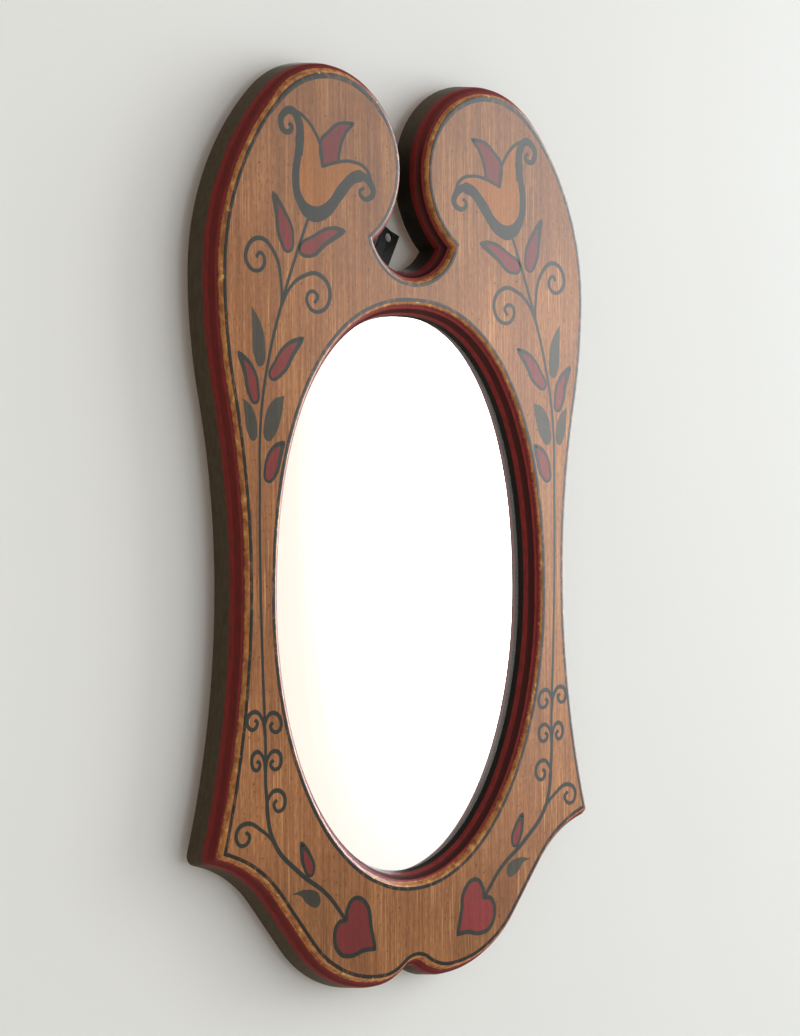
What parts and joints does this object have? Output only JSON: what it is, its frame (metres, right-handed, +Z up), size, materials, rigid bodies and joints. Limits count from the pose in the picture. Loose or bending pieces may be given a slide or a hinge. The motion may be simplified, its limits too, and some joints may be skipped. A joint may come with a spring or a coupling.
{
  "type": "painted wall mirror",
  "caption": "Oval wall mirror in a scroll-topped wooden board with a routed moulding, painted folk flowers, and a swivelling steel strap on its back to hang it from a nail.",
  "frame": {"origin": "middle of the nail hole in the hanger strap, in the plane of the board's back", "axes": "+Z up along the board's height, +Y to the wall, +X to the right seen from the front"},
  "size_m": [0.3438, 0.0291, 0.613],
  "materials": {
    "frame_board": "satin",
    "mirror_glass": "polished",
    "packing_card": "matte",
    "backing_board": "matte",
    "clip": "satin",
    "screw": "satin",
    "hanger_strap": "satin"
  },
  "bodies": {
    "mirror": {"frame_board": "frame_board", "mirror_glass": "mirror_glass", "packing_card": "packing_card", "backing_board": "backing_board", "clip_1": "clip", "clip_2": "clip", "clip_3": "clip", "clip_4": "clip", "clip_5": "clip", "clip_6": "clip", "clip_7": "clip", "clip_8": "clip", "clip_screw_1": "screw", "clip_screw_2": "screw", "clip_screw_3": "screw", "clip_screw_4": "screw", "clip_screw_5": "screw", "clip_screw_6": "screw", "clip_screw_7": "screw", "clip_screw_8": "screw", "hanger_screw": "screw"},
    "hanger": {"hanger_strap": "hanger_strap"}
  },
  "joints": [
    {"name": "hanger_swivel", "type": "hinge", "parent": "mirror", "child": "hanger", "pos_m": [-0.01493, 0.00105, -0.0306], "axis": [0, 1, 0], "continuous": true}
  ]
}
